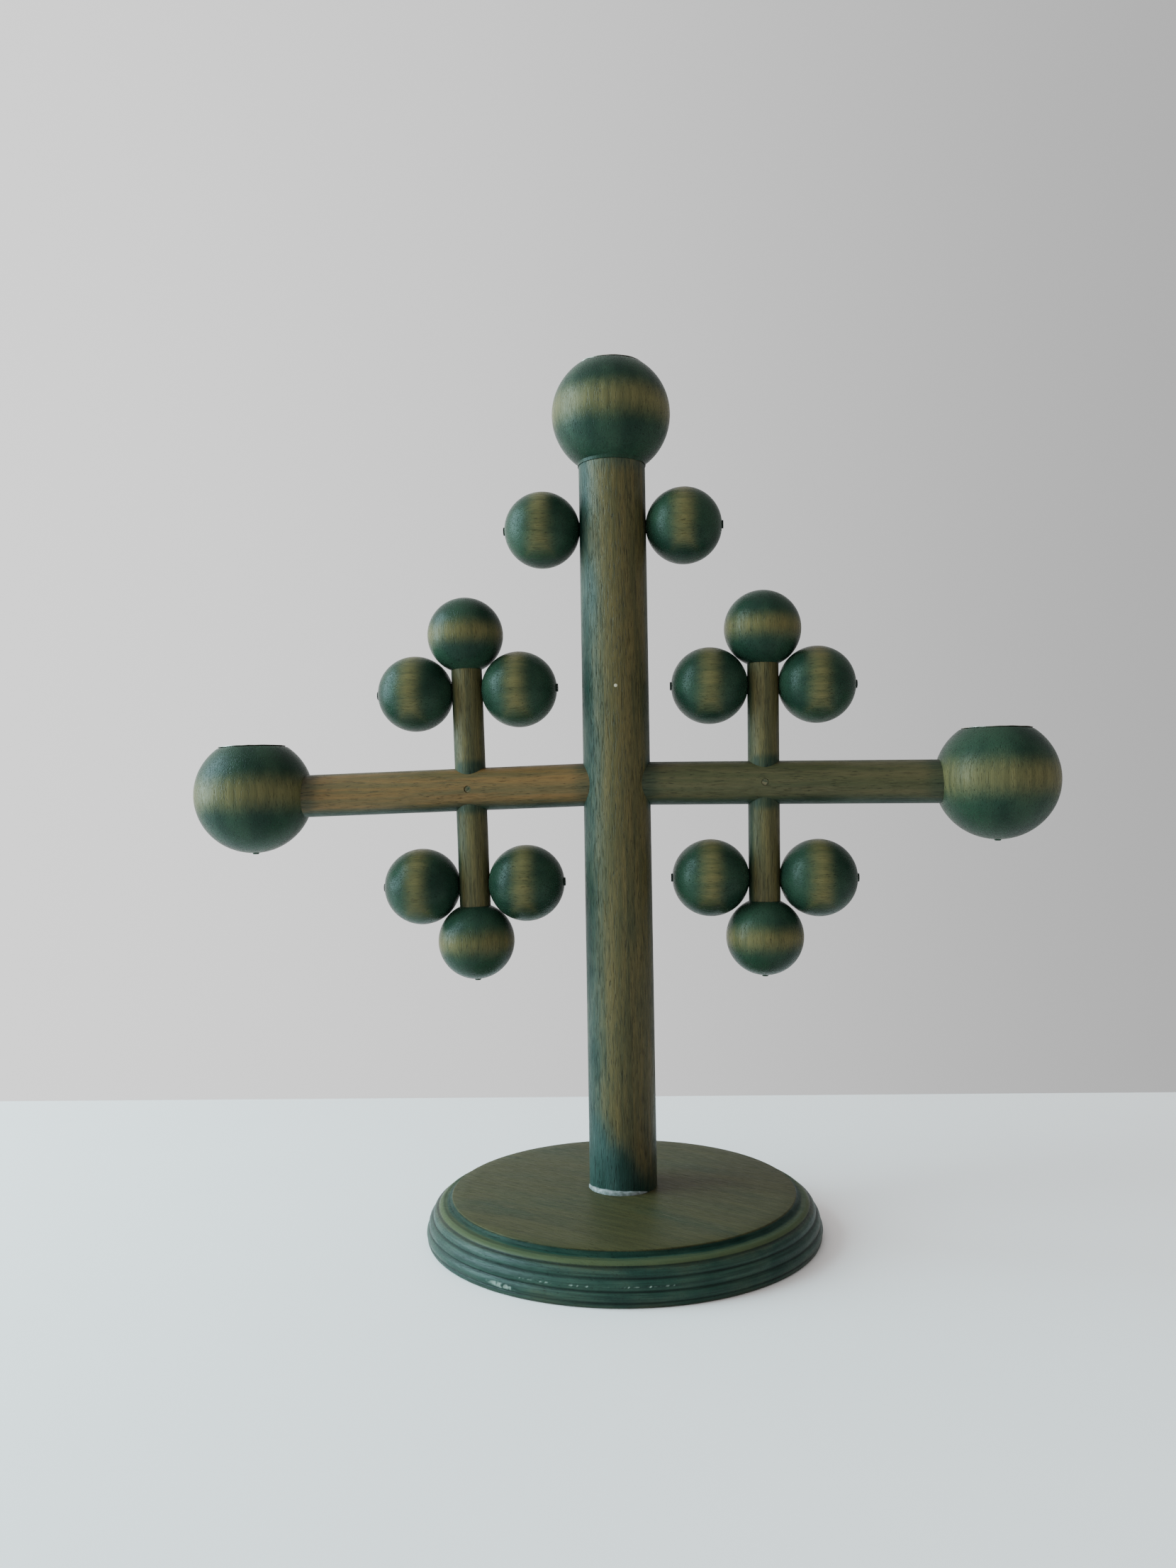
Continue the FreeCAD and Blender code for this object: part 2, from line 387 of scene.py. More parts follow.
base_tones = [(0.050, 0.048, 0.021), (0.039, 0.039, 0.018), (0.024, 0.054, 0.038), (0.010, 0.034, 0.024)]
base_stain = stained_wood("green and olive stained base", lying(Vector((0, 0, 0)),
                          (0, math.pi / 2, base_grain_turn)), base_cover, base_tones, furrow=0.10,
                          relief=0.00005, shine=0.06)
base_tree = base_stain.node_tree
base_shader = base_tree.nodes["Principled BSDF"]
stain_colour = base_shader.inputs["Base Color"].links[0].from_socket
base_place = node(base_tree, "ShaderNodeTexCoord").outputs["Object"]
base_level = node(base_tree, "ShaderNodeSeparateXYZ", {0: base_place}).outputs["Z"]
on_edge = ranged(base_tree, base_level, rim_level - arris, rim_level, 0.85, 0.0)
rings = maths(base_tree, "MULTIPLY", ranged(base_tree, turning_lines(base_tree), 0.36, 0.66), on_edge)
stain_colour = mixed(base_tree, rings, stain_colour, (0.42, 0.50, 0.52, 1), "MULTIPLY")
# Darker cove and grooves: gathered stain, and painted shade in these recesses.
stain_colour = mixed(base_tree, maths(base_tree, "MULTIPLY", grooves_stain_and_shade(base_tree), 0.8), stain_colour,
                     (0.25, 0.36, 0.36, 1), "MULTIPLY")
ledge_foot = edge_cuts[1][1]
ledge_head = edge_cuts[0][1]
# The ledge is mixed toward a lighter olive: it took the stain thinly, and the lighter tone is also a
# painted highlight where the chamfer faces up to the light.
ledge_thin_stain_and_light = maths(base_tree, "MULTIPLY", ranged(base_tree, base_level, ledge_foot, ledge_foot + 0.0004),
              ranged(base_tree, base_level, ledge_head - 0.0002, ledge_head + 0.0002, 1.0, 0.0))
stain_colour = mixed(base_tree, maths(base_tree, "MULTIPLY", ledge_thin_stain_and_light, 0.6), stain_colour,
                     (0.062, 0.078, 0.036, 1))
base_tree.links.new(ranged(base_tree, base_level, ledge_foot - 0.0006, ledge_head - 0.0006, 0.15, 0.04),
                    base_shader.inputs["Specular IOR Level"])
# Pale where the bruise shows bare wood, and painted highlights along the chatter marks.
bare_and_glints = node(base_tree, "ShaderNodeAttribute", attribute_name="bare_wood_and_glints").outputs["Fac"]
pale = mixed(base_tree, ranged(base_tree, bare_and_glints, 0.15, 0.9, 0.0, 0.7), stain_colour, (0.20, 0.26, 0.22, 1))
base_tree.links.new(pale, base_shader.inputs["Base Color"])

base_mesh = turned_mesh("reeded_base", base_outline(), 720)
wear_base(base_mesh)
base_mesh.materials.append(base_stain)
base = placed("reeded_base", base_mesh)
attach(base, "frame")
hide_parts("base_disc")

# ---- post ----
# A straight 28 mm round of open-grained wood, stained brown-olive with the green brush run up from
# the foot and round the arms' joints. It is screwed and glued to the base from below.
post_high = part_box("post")[1]
post_radius = post_high.x
speck_angle = math.radians(-86.4)
speck_level = 0.2248
arm_level = (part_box("left_arm")[1].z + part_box("right_arm")[1].z) / 2 - 0.009


def post_cover(tree):
    """Thick green at the foot, by the arms and under the ball, and where the brush missed the sides; down
    the left side the bluish green is also a painted sheen from the window.
    """
    seen = node(tree, "ShaderNodeTexCoord").outputs["Object"]
    axes = node(tree, "ShaderNodeSeparateXYZ", {0: seen}).outputs
    slanting = maths(tree, "MULTIPLY_ADD", axes["X"], 1.6, axes["Z"])
    foot = ranged(tree, slanting, seat_level + 0.004, seat_level + 0.036, 1.05, 0.0)
    head = ranged(tree, axes["Z"], post_high.z - 0.010, post_high.z, 0.0, 0.55)
    from_arm = maths(tree, "ABSOLUTE", maths(tree, "SUBTRACT", axes["Z"], arm_level))
    beside = maths(tree, "ABSOLUTE", axes["X"])
    joint = maths(tree, "MULTIPLY", ranged(tree, from_arm, 0.009, 0.016, 0.9, 0.0),
                  ranged(tree, beside, 0.8 * post_radius, post_radius))
    # Left side: thick stain, and its bluish green is also a painted sheen where the window shines on the
    # post.
    left = ranged(tree, axes["X"], -0.95 * post_radius, -0.10 * post_radius, 0.75, 0.08)
    right = ranged(tree, axes["X"], 0.80 * post_radius, post_radius, 0.0, 0.5)
    amount = maths(tree, "MAXIMUM", foot, head)
    for other in (joint, left, right):
        amount = maths(tree, "MAXIMUM", amount, other)
    return amount


# The light green is tinted bluish, partly as a painted sheen down the left side.
post_tones = [(0.092, 0.073, 0.028), (0.057, 0.053, 0.022), (0.024, 0.054, 0.046), (0.008, 0.028, 0.020)]
post_stain = stained_wood("brown and green stained post", lying(Vector((0, 0, 0)), (0, 0, 0)),
                          post_cover, post_tones, furrow=0.45, relief=0.00018)
post_tree = post_stain.node_tree
post_shader = post_tree.nodes["Principled BSDF"]
post_place = node(post_tree, "ShaderNodeTexCoord").outputs["Object"]
speck_place = Matrix.Rotation(speck_angle, 3, "Z") @ Vector((post_radius, 0, speck_level))
from_speck = node(post_tree, "ShaderNodeVectorMath", {0: post_place, 1: speck_place}, operation="DISTANCE")
speck = ranged(post_tree, from_speck.outputs["Value"], 0.0005, 0.0008, 0.8, 0.0)
stained_colour = post_shader.inputs["Base Color"].links[0].from_socket
post_tree.links.new(mixed(post_tree, speck, stained_colour, (0.50, 0.46, 0.34, 1)),
                    post_shader.inputs["Base Color"])
nodes["post"].material_slots[0].material = post_stain

# ---- glue at the post's foot ----
# White wood glue squeezed out of the joint and wiped up the post: a thin, uneven fillet in the
# corner between post and base, tallest at the front left.
glue_from = math.radians(-182)
glue_sweep = math.radians(140)
glue_width = 0.0010


def tree_inputs(tree, sockets):
    """Adds named inputs to a tree and gives {name: identifier}."""
    made = {}
    for label, kind in sockets.items():
        made[label] = tree.interface.new_socket(label, in_out="INPUT", socket_type=kind).identifier
    tree.interface.new_socket("Geometry", in_out="OUTPUT", socket_type="NodeSocketGeometry")
    return made


def grown(name, mesh, tree, values):
    """The plain mesh that a tree makes of mesh, its inputs given as {identifier: value}."""
    made = placed(name, mesh)
    modifier = made.modifiers.new(name, "NODES")
    modifier.node_group = tree
    for identifier, value in values.items():
        modifier[identifier] = value
    graph = bpy.context.evaluated_depsgraph_get()
    result = bpy.data.meshes.new_from_object(made.evaluated_get(graph))
    made.modifiers.clear()
    made.data = result
    result.name = name
    return made


bead_tree = bpy.data.node_groups.new("glue bead round a foot", "GeometryNodeTree")
bead_inputs = tree_inputs(bead_tree, {
    "Geometry": "NodeSocketGeometry", "Foot radius": "NodeSocketFloat", "Level": "NodeSocketFloat",
    "From": "NodeSocketFloat", "Sweep": "NodeSocketFloat", "Width": "NodeSocketFloat",
    "Glue": "NodeSocketMaterial"})
given = node(bead_tree, "NodeGroupInput").outputs
path = node(bead_tree, "GeometryNodeCurveArc", {
    "Resolution": 160, "Radius": given["Foot radius"], "Start Angle": given["From"],
    "Sweep Angle": given["Sweep"]}).outputs["Curve"]
along = node(bead_tree, "GeometryNodeSplineParameter").outputs["Factor"]
spot = node(bead_tree, "GeometryNodeInputPosition").outputs[0]
lumps = node(bead_tree, "ShaderNodeTexNoise", {"Vector": spot, "Scale": 190.0, "Detail": 2.0}).outputs[0]
lumps = maths(bead_tree, "MULTIPLY_ADD", lumps, 0.6, 0.7)
swell = maths(bead_tree, "SINE", maths(bead_tree, "MULTIPLY", along, math.pi))
swell = maths(bead_tree, "POWER", maths(bead_tree, "MAXIMUM", swell, 0.0), 0.6)
width = maths(bead_tree, "MULTIPLY", maths(bead_tree, "MULTIPLY", swell, lumps), given["Width"])
ring = node(bead_tree, "GeometryNodeCurvePrimitiveCircle", {"Resolution": 14, "Radius": 1.0}).outputs[0]
bead = node(bead_tree, "GeometryNodeCurveToMesh", {"Curve": path, "Profile Curve": ring, "Scale": width,
                                                   "Fill Caps": True}).outputs[0]
lift = node(bead_tree, "ShaderNodeCombineXYZ", {"Z": given["Level"]}).outputs[0]
bead = node(bead_tree, "GeometryNodeTransform", {"Geometry": bead, "Translation": lift,
                                                 "Scale": (1, 1, 2.0)}).outputs[0]
bead = node(bead_tree, "GeometryNodeRealizeInstances", {0: bead}).outputs[0]
bead = node(bead_tree, "GeometryNodeSetMaterial", {"Geometry": bead, "Material": given["Glue"]}).outputs[0]
node(bead_tree, "NodeGroupOutput", {"Geometry": bead})

glue = bpy.data.materials.new("dried wood glue")
glue.use_nodes = True
glue_tree = glue.node_tree
glue_shader = glue_tree.nodes["Principled BSDF"]
glue_place = node(glue_tree, "ShaderNodeTexCoord").outputs["Object"]
grime = noise_field(glue_tree, glue_place, (700, 700, 700), 3.0)
glue_tree.links.new(mixed(glue_tree, ranged(glue_tree, grime, 0.35, 0.7), (0.16, 0.18, 0.18, 1),
                          (0.07, 0.09, 0.08, 1)), glue_shader.inputs["Base Color"])
glue_tree.links.new(ranged(glue_tree, grime, 0.3, 0.7, 0.35, 0.6), glue_shader.inputs["Roughness"])
glue_bead = grown("glue_bead", bpy.data.meshes.new("glue seed"), bead_tree, {
    bead_inputs["Foot radius"]: post_radius, bead_inputs["Level"]: seat_level,
    bead_inputs["From"]: glue_from, bead_inputs["Sweep"]: glue_sweep,
    bead_inputs["Width"]: glue_width, bead_inputs["Glue"]: glue})
glue_bead.data.shade_smooth()
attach(glue_bead, "frame")

# ---- base screw and the dowel in the post's head ----
# A countersunk steel wood screw comes up through the base into the post, and a plain unstained
# dowel joins the post to the top ball. Both are hidden once the piece stands.


def metal(name, bright, dull, roughness, patch):
    """Metal with darker, rougher tarnish in patches of the given size."""
    made = bpy.data.materials.new(name)
    made.use_nodes = True
    tree = made.node_tree
    shader = tree.nodes["Principled BSDF"]
    seen = node(tree, "ShaderNodeTexCoord").outputs["Object"]
    spread = ranged(tree, noise_field(tree, seen, (1 / patch,) * 3, 5.0), 0.35, 0.65)
    tree.links.new(mixed(tree, spread, (*bright, 1), (*dull, 1)), shader.inputs["Base Color"])
    tree.links.new(ranged(tree, spread, 0.0, 1.0, roughness, roughness + 0.22),
                   shader.inputs["Roughness"])
    scratches = noise_field(tree, seen, (9000, 9000, 1200), 2.0)
    bump = node(tree, "ShaderNodeBump", {"Strength": 0.5, "Distance": 0.00003, "Height": scratches})
    tree.links.new(bump.outputs[0], shader.inputs["Normal"])
    shader.inputs["Metallic"].default_value = 1.0
    return made


nodes["base_screw"].material_slots[0].material = metal(
    "plated steel screw", (0.52, 0.51, 0.48), (0.30, 0.27, 0.22), 0.30, 0.002)


def bare_cover(tree):
    """No stain on the hidden dowel."""
    return 0.0


bare_tones = [(0.55, 0.40, 0.24), (0.45, 0.31, 0.18), (0.20, 0.25, 0.15), (0.12, 0.18, 0.10)]
nodes["post_top_dowel"].material_slots[0].material = stained_wood(
    "bare beech dowel", lying(Vector((0, 0, 0)), (0, 0, 0)), bare_cover, bare_tones, gloss=0.6)

# ---- arms ----
# Two 18 mm rounds let into the post and into the candle balls. They droop a little. The left one took
# the stain orange-brown, the right one olive, and the green is thick underneath and at their ends.
arm_radius = 0.009
arm_tones = {
    "left": [(0.150, 0.085, 0.030), (0.096, 0.069, 0.028), (0.015, 0.034, 0.020), (0.005, 0.017, 0.011)],
    "right": [(0.070, 0.060, 0.027), (0.050, 0.049, 0.021), (0.015, 0.034, 0.020), (0.005, 0.017, 0.011)],
}
side_names = ("left", "right")
side_sign = {"left": -1, "right": 1}
lift_axis = {joint["child"]: Vector(joint["axis"]) for joint in frame["joints"]}
side_up = {side: lift_axis[side + "_candle_cup"].normalized() for side in side_names}
side_tilt = {side: math.atan2(up.x, up.z) for side, up in side_up.items()}


def ball_centre(name, outward, radius, hole):
    """A ball's centre from its outer side, where a hole through it shortens its box a little."""
    low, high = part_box(name)
    reach = math.sqrt(radius ** 2 - hole ** 2)
    centre = (low + high) / 2
    centre.x = high.x - reach if outward > 0 else low.x + reach
    return centre


def middle_of(name):
    """The centre of a CAD node's box."""
    low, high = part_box(name)
    return (low + high) / 2


def arm_cover(side):
    """Green under the arm, at the post and at the candle ball."""
    def cover(tree):
        seen = node(tree, "ShaderNodeTexCoord").outputs["Object"]
        own = node(tree, "ShaderNodeMapping", {"Vector": seen, "Location": middle_of(side + "_arm"),
                                               "Rotation": (0, side_tilt[side], 0)},
                   vector_type="TEXTURE").outputs[0]
        axes = node(tree, "ShaderNodeSeparateXYZ", {0: own}).outputs
        under = ranged(tree, axes["Z"], -arm_radius, -0.45 * arm_radius, 0.95, 0.12)
        over = ranged(tree, axes["Z"], 0.75 * arm_radius, arm_radius, 0.0, 0.4)
        half = (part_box(side + "_arm")[1].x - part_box(side + "_arm")[0].x) / 2
        from_middle = maths(tree, "ABSOLUTE", axes["X"])
        ends = ranged(tree, from_middle, half - post_radius - 0.009, half - post_radius + 0.002, 0.0, 0.55)
        return maths(tree, "MAXIMUM", maths(tree, "MAXIMUM", under, over), ends)
    return cover


for side in side_names:
    arm_where = lying(middle_of(side + "_arm"), (0, math.pi / 2 + side_tilt[side], 0))
    nodes[side + "_arm"].material_slots[0].material = stained_wood(
        side + " arm stain", arm_where, arm_cover(side), arm_tones[side], furrow=0.22,
        ragged=0.8)

# ---- uprights ----
# A 13 mm round driven down through each arm, with its lowest and topmost balls glued on its ends.
upright_radius = 0.0065
upright_tones = [(0.098, 0.081, 0.032), (0.058, 0.054, 0.023), (0.017, 0.041, 0.025), (0.006, 0.022, 0.014)]


def upright_cover(side):
    """Green down the left side of the upright and by the arm."""
    def cover(tree):
        seen = node(tree, "ShaderNodeTexCoord").outputs["Object"]
        own = node(tree, "ShaderNodeMapping", {"Vector": seen, "Location": middle_of(side + "_upright"),
                                               "Rotation": (0, side_tilt[side], 0)},
                   vector_type="TEXTURE").outputs[0]
        axes = node(tree, "ShaderNodeSeparateXYZ", {0: own}).outputs
        left = ranged(tree, axes["X"], -upright_radius, -0.45 * upright_radius, 0.75, 0.12)
        from_arm = maths(tree, "ABSOLUTE", axes["Z"])
        joint = ranged(tree, from_arm, arm_radius, arm_radius + 0.005, 0.6, 0.0)
        return maths(tree, "MAXIMUM", left, joint)
    return cover


for side in side_names:
    upright_where = lying(middle_of(side + "_upright"), (0, side_tilt[side], 0))
    nodes[side + "_upright"].material_slots[0].material = stained_wood(
        side + " upright stain", upright_where, upright_cover(side), upright_tones, furrow=0.40)

# ---- nails ----
# A round wire nail through each arm into its upright, set below the surface and stained over.
stained_nail = metal("stained nail", (0.16, 0.15, 0.09), (0.05, 0.07, 0.045), 0.38, 0.0012)
for side in side_names:
    nodes[side + "_nail"].material_slots[0].material = stained_nail

# ---- small balls ----
# Fourteen 32 mm beads, bored and turned from the rod, so the grain runs along the bore. Each was
# dipped green at both ends, which leaves a golden band round its middle. All have small dents.
ball_radius = (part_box("post_ball_left")[1].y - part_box("post_ball_left")[0].y) / 2
nib_radius = 0.0015
nib_height = 0.0005
pin_radius = (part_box("post_ball_pin")[1].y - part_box("post_ball_pin")[0].y) / 2

turned_tree = bpy.data.node_groups.new("turned pieces set on points", "GeometryNodeTree")
turned_inputs = tree_inputs(turned_tree, {
    "Geometry": "NodeSocketGeometry", "Turned piece": "NodeSocketObject",
    "Dent depth": "NodeSocketFloat", "Dents a metre": "NodeSocketFloat",
    "Out of round": "NodeSocketFloat", "Seed": "NodeSocketFloat", "Finish": "NodeSocketMaterial"})
given = node(turned_tree, "NodeGroupInput").outputs
piece = node(turned_tree, "GeometryNodeObjectInfo", {"Object": given["Turned piece"]}).outputs["Geometry"]
spot = node(turned_tree, "GeometryNodeInputPosition").outputs[0]
piece = node(turned_tree, "GeometryNodeStoreNamedAttribute", {
    "Geometry": piece, "Name": "turned", "Value": spot}, data_type="FLOAT_VECTOR").outputs[0]
bored = node(turned_tree, "GeometryNodeInputNamedAttribute", {"Name": "bored_axis"},
             data_type="FLOAT_VECTOR").outputs[0]
attitude = node(turned_tree, "FunctionNodeAlignRotationToVector", {"Vector": bored}, axis="Z").outputs[0]
pieces = node(turned_tree, "GeometryNodeInstanceOnPoints", {
    "Points": given["Geometry"], "Instance": piece, "Rotation": attitude}).outputs[0]
pieces = node(turned_tree, "GeometryNodeRealizeInstances", {0: pieces}).outputs[0]
dent_field = node(turned_tree, "ShaderNodeTexNoise", {
    "Vector": spot, "W": given["Seed"], "Scale": given["Dents a metre"], "Detail": 1.0},
    noise_dimensions="4D").outputs[0]
dents = maths(turned_tree, "MULTIPLY", ranged(turned_tree, dent_field, 0.66, 0.80), given["Dent depth"])
oval_field = node(turned_tree, "ShaderNodeTexNoise", {
    "Vector": spot, "W": given["Seed"], "Scale": 45.0, "Detail": 1.0}, noise_dimensions="4D").outputs[0]
inward = maths(turned_tree, "MULTIPLY_ADD", oval_field, given["Out of round"], dents)
outward = node(turned_tree, "GeometryNodeInputNormal").outputs[0]
push = node(turned_tree, "ShaderNodeVectorMath", {
    0: outward, "Scale": maths(turned_tree, "MULTIPLY", inward, -1.0)}, operation="SCALE").outputs[0]
pieces = node(turned_tree, "GeometryNodeSetPosition", {"Geometry": pieces, "Offset": push}).outputs[0]
pieces = node(turned_tree, "GeometryNodeSetMaterial", {
    "Geometry": pieces, "Material": given["Finish"]}).outputs[0]
node(turned_tree, "NodeGroupOutput", {"Geometry": pieces})


def points_mesh(name, spots):
    """A mesh of loose points, each with its bored axis and a batch number that varies its pattern."""
    mesh = bpy.data.meshes.new(name)
    mesh.from_pydata([centre for centre, axis in spots], [], [])
    mesh.attributes.new("bored_axis", "FLOAT_VECTOR", "POINT")
    mesh.attributes.new("batch", "FLOAT", "POINT")
    for i, (centre, axis) in enumerate(spots):
        mesh.attributes["bored_axis"].data[i].vector = axis
        mesh.attributes["batch"].data[i].value = i + 1
    return mesh


def set_turned(name, outline, spots, finish, segments=80, dent=0.0, dents=0.0, oval=0.0, seed=1.0):
    """Turn one outline and set a copy on every (centre, bored axis)."""
    blank = placed(name + "_blank", turned_mesh(name + "_blank", outline, segments))
    blank.data.materials.append(finish)
    made = grown(name, points_mesh(name + "_points", spots), turned_tree, {
        turned_inputs["Turned piece"]: blank, turned_inputs["Dent depth"]: dent,
        turned_inputs["Dents a metre"]: dents, turned_inputs["Out of round"]: oval,
        turned_inputs["Seed"]: seed, turned_inputs["Finish"]: finish})
    bpy.data.objects.remove(blank)
    return made


def round_profile(radius, from_level, to_level, steps):
    """(radius, height) points up a ball's side between two heights, evenly spaced in angle."""
    low = math.asin(from_level / radius)
    high = math.asin(to_level / radius)
    angles = [low + (high - low) * i / steps for i in range(steps + 1)]
    return [(radius * math.cos(angle), radius * math.sin(angle)) for angle in angles]


def nibbed(radius, to_level, steps):
    """A ball's profile that starts with the small stub the parting tool leaves under it."""
    neck = math.sqrt(radius ** 2 - nib_radius ** 2)
    stub = [(0, -radius - nib_height), (nib_radius * 0.8, -radius - nib_height), (nib_radius, -radius)]
    return stub + round_profile(radius, -neck, to_level, steps)


def turned_place(tree):
    """The stored place on the lathe, shifted for each piece so that no two match."""
    lathe = node(tree, "ShaderNodeAttribute", attribute_name="turned").outputs["Vector"]
    batch = node(tree, "ShaderNodeAttribute", attribute_name="batch").outputs["Fac"]
    shift = node(tree, "ShaderNodeCombineXYZ", {"X": batch, "Y": batch, "Z": batch}).outputs[0]
    return node(tree, "ShaderNodeVectorMath", {0: shift, 1: (0.37, 0.21, 0.53), 2: lathe},
                operation="MULTIPLY_ADD").outputs[0]


def dipped(radius, clear, full, lean=0.0):
    """Green from both poles and underneath, a clear band round the middle; lean lifts the band. The green
    on surfaces facing down is partly stain and partly painted shade under the ball.
    """
    def cover(tree):
        lathe = node(tree, "ShaderNodeAttribute", attribute_name="turned").outputs["Vector"]
        along_bore = node(tree, "ShaderNodeSeparateXYZ", {0: lathe}).outputs["Z"]
        off_middle = maths(tree, "SUBTRACT", maths(tree, "DIVIDE", along_bore, radius), lean)
        poles = ranged(tree, maths(tree, "ABSOLUTE", off_middle), clear, full, 0.0, 1.05)
        # More green where the surface faces down: stain, and painted shade under the ball.
        facing = node(tree, "ShaderNodeNewGeometry").outputs["Normal"]
        down = node(tree, "ShaderNodeSeparateXYZ", {0: facing}).outputs["Z"]
        return maths(tree, "MAXIMUM", poles, ranged(tree, down, -0.95, -0.25, 0.95, 0.0))
    return cover


ball_tones = [(0.104, 0.090, 0.036), (0.074, 0.070, 0.029), (0.018, 0.041, 0.024), (0.009, 0.024, 0.015)]
ball_stain = stained_wood("green dipped ball", turned_place, dipped(ball_radius, -0.15, 0.60), ball_tones,
                          furrow=0.25, relief=0.00008, gloss=0.27, shine=0.08, ragged=0.45)
side_rows = ("upper_outer_ball", "upper_inner_ball", "lower_outer_ball", "lower_inner_ball")
ball_names = ["post_ball_left", "post_ball_right"]
ball_spots = [(ball_centre(name, sign, ball_radius, pin_radius), Vector((1, 0, 0)))
              for name, sign in zip(ball_names, (-1, 1))]
nibbed_names = []
nibbed_spots = []
for side in side_names:
    along_arm = side_up[side].cross(Vector((0, 1, 0))) * -1
    for row in side_rows:
        outward = side_sign[side] if "outer" in row else -side_sign[side]
        ball_names.append(side + "_" + row)
        ball_spots.append((ball_centre(ball_names[-1], outward, ball_radius, pin_radius), along_arm))
    top_name = side + "_top_ball"
    bottom_name = side + "_bottom_ball"
    ball_names.append(top_name)
    ball_spots.append((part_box(top_name)[1] - Vector((ball_radius, ball_radius, ball_radius)),
                       side_up[side]))
    bottom_low, bottom_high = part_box(bottom_name)
    bottom_centre = (bottom_low + bottom_high) / 2
    bottom_centre.z = bottom_low.z + nib_height + ball_radius
    nibbed_names.append(bottom_name)
    nibbed_spots.append((bottom_centre, side_up[side]))
small_balls = set_turned("small_balls", [(0, -ball_radius)] + round_profile(
    ball_radius, -0.999 * ball_radius, 0.999 * ball_radius, 48) + [(0, ball_radius)],
    ball_spots, ball_stain, dent=0.00022, dents=260.0, oval=0.0002, seed=3.0)
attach(small_balls, "frame")
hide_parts(*ball_names)
bottom_profile = nibbed(ball_radius, 0.999 * ball_radius, 48) + [(0, ball_radius)]
bottom_balls = set_turned("bottom_balls", bottom_profile, nibbed_spots, ball_stain,
                          dent=0.00022, dents=260.0, oval=0.0002, seed=6.0)
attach(bottom_balls, "frame")
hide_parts(*nibbed_names)

# ---- cross pins ----
# Thin round pins through the uprights and the post hold the side balls; their stained ends stand
# just proud of the outer balls.
pin_tones = [(0.025, 0.028, 0.014), (0.016, 0.020, 0.011), (0.007, 0.020, 0.013), (0.003, 0.011, 0.008)]


def pin_cover(tree):
    """The same green all along the pin, broken only by its own blotches."""
    made = node(tree, "ShaderNodeValue")
    made.outputs[0].default_value = 0.7
    return made.outputs[0]


pin_stain = stained_wood("stained pin", lying(Vector((0, 0, 0)), (0, math.pi / 2, 0)), pin_cover, pin_tones,
                         gloss=0.45)
for pin in ["post_ball_pin"] + [side + row for side in side_names for row in ("_upper_pin", "_lower_pin")]:
    nodes[pin].material_slots[0].material = pin_stain

# ---- candle balls ----
# Three 50 mm balls cut flat on top and bored for the cups. The side ones are threaded on the arms
# and keep a small nib underneath; the top one has a short collar that sits on the post.
candle_radius = (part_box("left_candle_ball")[1].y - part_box("left_candle_ball")[0].y) / 2
flat_level = 0.0204
flat_arris = 0.0006
bore_radius = 0.0116
bore_depth = 0.0197
collar_radius = 0.0144


def bored_top(radius):
    """The flat with its eased edge and the bore down to its floor."""
    flat_radius = math.sqrt(radius ** 2 - flat_level ** 2)
    return [(flat_radius - flat_arris, flat_level), (bore_radius + 0.0002, flat_level),
            (bore_radius, flat_level - 0.0002), (bore_radius, flat_level - bore_depth / 2),
            (bore_radius, flat_level - bore_depth), (0, flat_level - bore_depth)]


candle_tones = [(0.109, 0.098, 0.042), (0.078, 0.073, 0.032), (0.020, 0.044, 0.026), (0.009, 0.024, 0.015)]
candle_stain = stained_wood("green dipped candle ball", turned_place,
                            dipped(candle_radius, -0.1, 0.56, lean=0.02), candle_tones,
                            furrow=0.25, relief=0.00010, gloss=0.29, shine=0.08, ragged=0.5)
side_profile = nibbed(candle_radius, flat_level - flat_arris / 2, 60) + bored_top(candle_radius)
side_spots = []
for side in side_names:
    centre = ball_centre(side + "_candle_ball", side_sign[side], candle_radius, 0)
    centre.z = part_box(side + "_candle_ball")[0].z + nib_height + candle_radius
    side_spots.append((centre, side_up[side]))
side_candle_balls = set_turned("side_candle_balls", side_profile, side_spots, candle_stain,
                               segments=112, dent=0.00022, dents=210.0, oval=0.0002, seed=8.0)
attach(side_candle_balls, "frame")
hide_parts("left_candle_ball", "right_candle_ball")

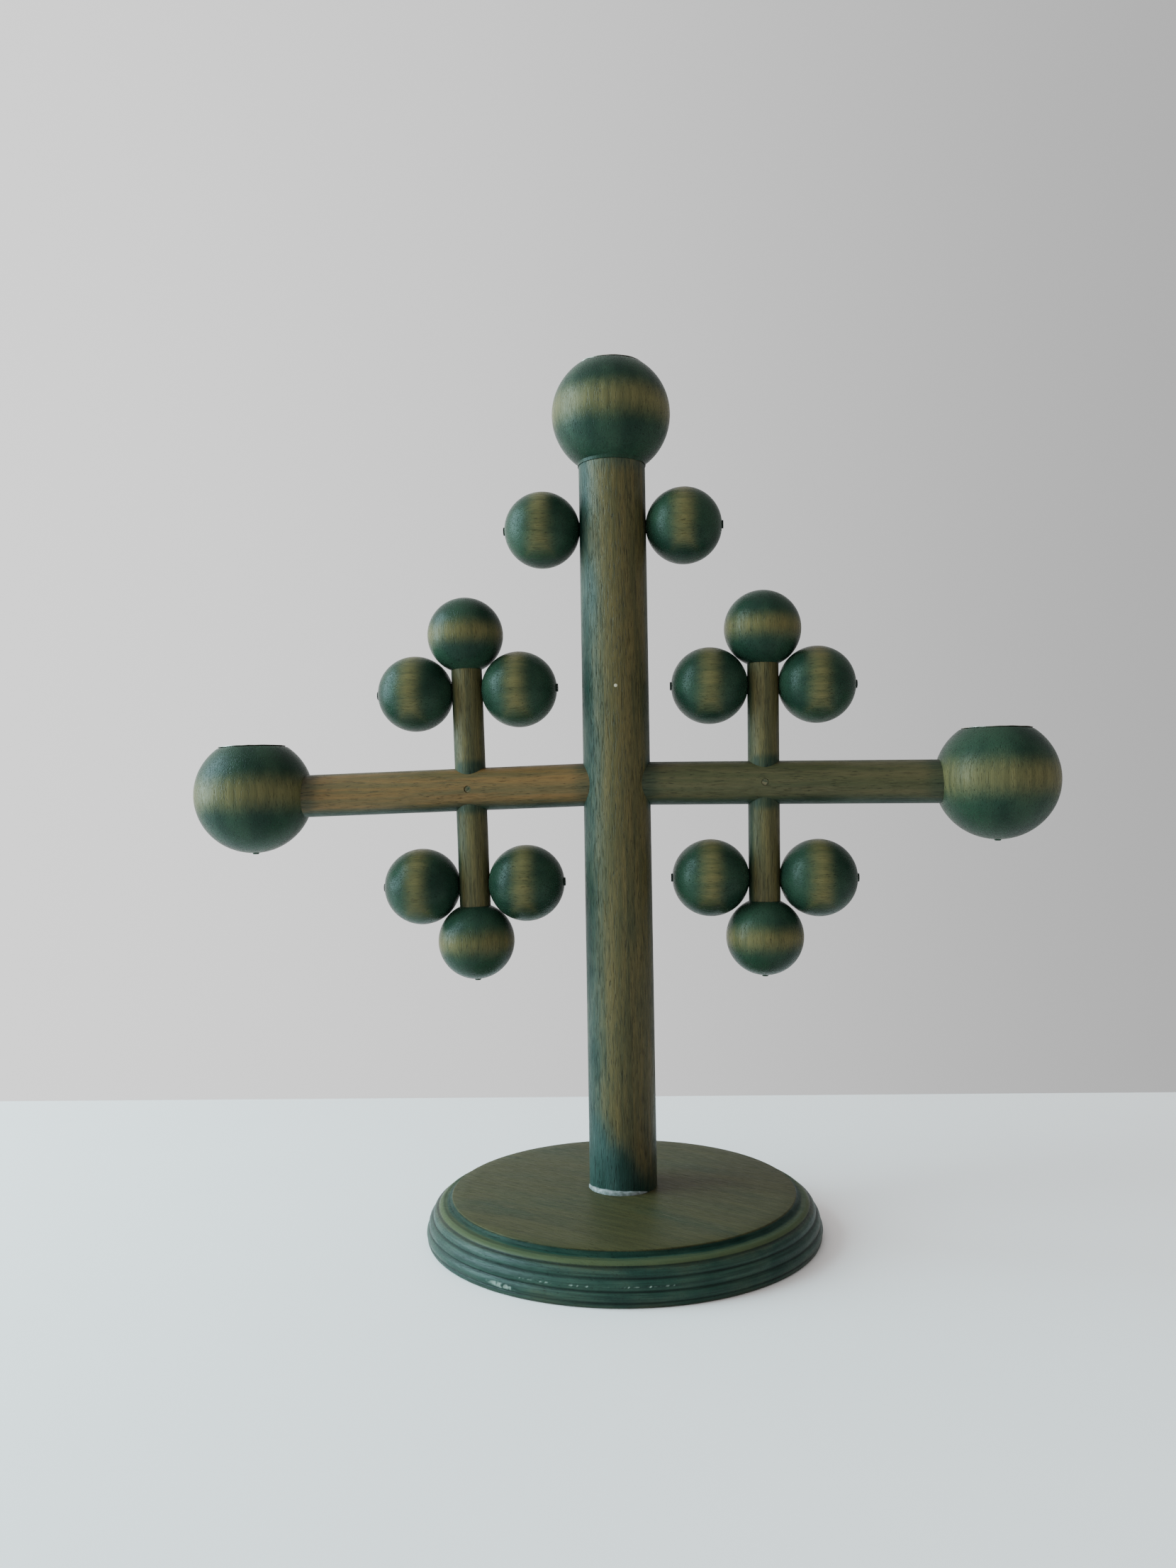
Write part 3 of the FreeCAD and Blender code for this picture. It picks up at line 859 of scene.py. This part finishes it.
top_low, top_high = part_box("top_candle_ball")
top_centre = Vector((0, 0, top_high.z - flat_level))
collar_foot = top_low.z - top_centre.z
collar_top = -math.sqrt(candle_radius ** 2 - collar_radius ** 2)
top_profile = [(0, collar_foot), (0.007, collar_foot), (collar_radius, collar_foot)]
top_profile += round_profile(candle_radius, collar_top, flat_level - flat_arris / 2, 56)
top_profile += bored_top(candle_radius)
top_candle_ball = set_turned("top_candle_ball_turned", top_profile, [(top_centre, Vector((0, 0, 1)))],
                             candle_stain, segments=112, dent=0.0002, dents=210.0, oval=0.0002, seed=5.0)
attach(top_candle_ball, "frame")
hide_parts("top_candle_ball")

# ---- candle cups ----
# Thin pressed tin cups that drop into the bores, with a narrow flange that lies on the flat. The
# flange is buckled from use and the tin has dulled in patches. Each lifts straight out.
cup_radius = 0.0115
cup_inside = 0.0110
cup_depth = 0.0190
cup_wall = 0.0005
flange_radius = 0.0140
flange_thickness = 0.00045
flange_sheet = 0.00024
cup_tin = metal("tarnished tin", (0.27, 0.265, 0.23), (0.15, 0.15, 0.12), 0.34, 0.005)


def cup_profile():
    """From the outside of the floor up the wall, over the flange and down inside."""
    turn = 0.0004
    return [(0, -cup_depth), (cup_radius - turn, -cup_depth), (cup_radius, -cup_depth + turn),
            (cup_radius, -cup_depth / 2), (cup_radius, 0), (cup_radius + 0.0012, 0), (flange_radius, 0),
            (flange_radius, flange_sheet), (cup_radius + 0.0012, flange_sheet),
            (cup_inside + 0.0003, flange_sheet), (cup_inside, flange_sheet - 0.0003),
            (cup_inside, -cup_depth / 2), (cup_inside, -cup_depth + cup_wall + turn),
            (cup_inside - turn, -cup_depth + cup_wall), (0, -cup_depth + cup_wall)]


def buckle(mesh, centre, up, seed):
    """Lift the flange's edge in uneven waves, as thin tin buckles."""
    for vertex in mesh.vertices:
        out = vertex.co - centre
        level = out.dot(up)
        flat = out - up * level
        share = min(max((flat.length - cup_radius) / (flange_radius - cup_radius), 0), 1)
        if level > -0.0001 and share > 0:
            wave = 0.5 + noise.noise(flat.normalized() * 3.2 + Vector((0, 0, seed)))
            vertex.co += up * min(max(wave, 0), 1) * share * (flange_thickness - flange_sheet)


for number, place in enumerate(("top", "left", "right")):
    cup_node = place + "_candle_cup"
    up = lift_axis[cup_node].normalized()
    low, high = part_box(cup_node)
    cup_centre = (low + high) / 2 + up * (cup_depth - flange_thickness) / 2
    cup = set_turned(place + "_tin_cup", cup_profile(), [(cup_centre, up)], cup_tin, segments=96)
    buckle(cup.data, cup_centre, up, number * 7.0)
    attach(cup, cup_node)
    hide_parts(cup_node)
